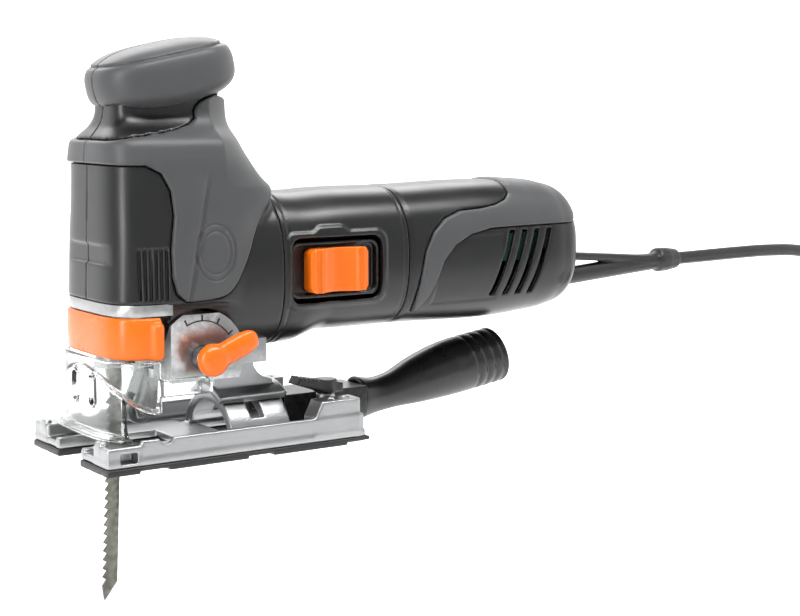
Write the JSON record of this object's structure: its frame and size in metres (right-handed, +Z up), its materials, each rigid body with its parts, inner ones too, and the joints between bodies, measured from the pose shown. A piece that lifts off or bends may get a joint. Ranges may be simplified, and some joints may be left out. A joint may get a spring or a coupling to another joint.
{
  "type": "jigsaw power tool",
  "caption": "Corded barrel-grip jigsaw with a mushroom knob, orange blade-release band, clear chip guard, tilting cast foot, dust nozzle and a black mains lead.",
  "frame": {"origin": "centre of the sole's underside, on the axis that the foot tilts about", "axes": "+X to the rear along the motor, +Z up away from the work, -Y the tool's left side; the blade is at -X and points down"},
  "size_m": [0.58, 0.1492, 0.2522],
  "materials": {
    "shell_plastic": "fine spark-eroded texture, satin black",
    "grip_rubber": "soft matt grey overmould",
    "orange_plastic": "smooth glossy orange",
    "cast_metal": "die-cast, blasted, slightly uneven",
    "machined_steel": "turned and ground steel",
    "blade_steel": "grey-olive spring steel, ground teeth",
    "core_steel": "laminated steel",
    "copper_winding": "varnished copper",
    "bush_bronze": "sintered bronze",
    "clear_plastic": "clear polycarbonate with light scuffs",
    "sole_plastic": "scuffed black glide shoe",
    "dark_plastic": "dark moulded plastic",
    "brush_carbon": "pressed carbon",
    "circuit_board": "varnished board",
    "cord_rubber": "matt black rubber"
  },
  "bodies": {
    "housing": {"head_shell_left": "shell_plastic", "head_shell_right": "shell_plastic", "head_grip_left": "grip_rubber", "head_grip_right": "grip_rubber", "knob_cover_left": "grip_rubber", "knob_cover_right": "grip_rubber", "gearbox_housing": "cast_metal", "bearing_shield": "cast_metal", "plunger_bush_lower": "bush_bronze", "plunger_bush_upper": "bush_bronze", "gear_axle": "machined_steel", "fork_pin": "machined_steel", "release_pin": "machined_steel", "tilt_segment": "cast_metal", "clamp_bolt": "machined_steel", "clamp_nut": "machined_steel", "motor_housing": "shell_plastic", "switch_tray": "shell_plastic", "switch_module": "dark_plastic", "rear_cover": "shell_plastic", "rear_grip": "grip_rubber", "stator": "core_steel", "field_coil_upper": "copper_winding", "field_coil_lower": "copper_winding", "front_bearing": "machined_steel", "rear_bearing": "machined_steel", "rear_bracket": "dark_plastic", "brush_upper": "brush_carbon", "brush_lower": "brush_carbon", "control_board": "circuit_board", "cord_guard": "cord_rubber", "power_cord": "cord_rubber", "cord_coil": "cord_rubber", "cord_tie": "cord_rubber", "mains_plug": "cord_rubber"},
    "plunger": {"plunger": "machined_steel", "blade_clamp": "machined_steel", "saw_blade": "blade_steel"},
    "crank": {"crank_gear": "machined_steel"},
    "rotor": {"rotor_shaft": "machined_steel", "rotor_core": "core_steel", "commutator": "copper_winding", "cooling_fan": "dark_plastic", "drive_pinion": "machined_steel"},
    "fork": {"orbital_fork": "machined_steel", "roller_axle": "machined_steel"},
    "roller": {"guide_roller": "machined_steel"},
    "release": {"release_lever": "orange_plastic"},
    "orbit_control": {"orbital_lever": "orange_plastic", "orbital_cam": "machined_steel"},
    "head_guard": {"chip_guard": "clear_plastic"},
    "foot": {"foot_plate": "cast_metal", "sole_shoe": "sole_plastic", "foot_guard": "clear_plastic", "dust_channel": "dark_plastic", "dust_nozzle": "dark_plastic"},
    "tilt_clamp": {"foot_clamp_lever": "dark_plastic"},
    "switch": {"switch_slider": "orange_plastic"},
    "dial": {"speed_dial": "dark_plastic"}
  },
  "joints": [
    {"name": "foot_tilt", "type": "hinge", "parent": "housing", "child": "foot", "pos_m": [0, 0, 0], "axis": [1, 0, 0], "range_deg": [-45, 45]},
    {"name": "foot_lever_swing", "type": "hinge", "parent": "foot", "child": "tilt_clamp", "pos_m": [0.055, -0.02, 0.0223], "axis": [0, 0, 1], "range_deg": [0, 45]},
    {"name": "blade_stroke", "type": "slide", "parent": "housing", "child": "plunger", "axis": [0, 0, 1], "range_m": [-0.013, 0.013]},
    {"name": "rotor_spin", "type": "hinge", "parent": "housing", "child": "rotor", "pos_m": [0, 0, 0.084], "axis": [1, 0, 0], "continuous": true},
    {"name": "crank_spin", "type": "hinge", "parent": "housing", "child": "crank", "pos_m": [-0.0295, 0, 0.108], "axis": [1, 0, 0], "continuous": true},
    {"name": "fork_swing", "type": "hinge", "parent": "housing", "child": "fork", "pos_m": [-0.022, 0, 0.057], "axis": [0, -1, 0], "range_deg": [0, 3]},
    {"name": "roller_spin", "type": "hinge", "parent": "fork", "child": "roller", "pos_m": [-0.0333, 0, 0.02], "axis": [0, 1, 0], "continuous": true},
    {"name": "release_lever_swing", "type": "hinge", "parent": "housing", "child": "release", "pos_m": [-0.0355, 0.0303, 0.0568], "axis": [0, 0, -1], "range_deg": [0, 70]},
    {"name": "orbital_lever_turn", "type": "hinge", "parent": "housing", "child": "orbit_control", "pos_m": [-0.016, -0.042, 0.0465], "axis": [0, -1, 0], "range_deg": [0, 75]},
    {"name": "chip_guard_pull", "type": "slide", "parent": "housing", "child": "head_guard", "axis": [-1, 0, 0], "range_m": [0, 0.035]},
    {"name": "switch_slide", "type": "slide", "parent": "housing", "child": "switch", "axis": [-1, 0, 0], "range_m": [0, 0.007]},
    {"name": "speed_dial_turn", "type": "hinge", "parent": "housing", "child": "dial", "pos_m": [0.128, 0.024, 0.084], "axis": [0, 0, 1], "range_deg": [0, 270]}
  ],
  "couplings": [
    {"joint": "crank_spin", "follows": "rotor_spin", "ratio": -0.15385}
  ]
}
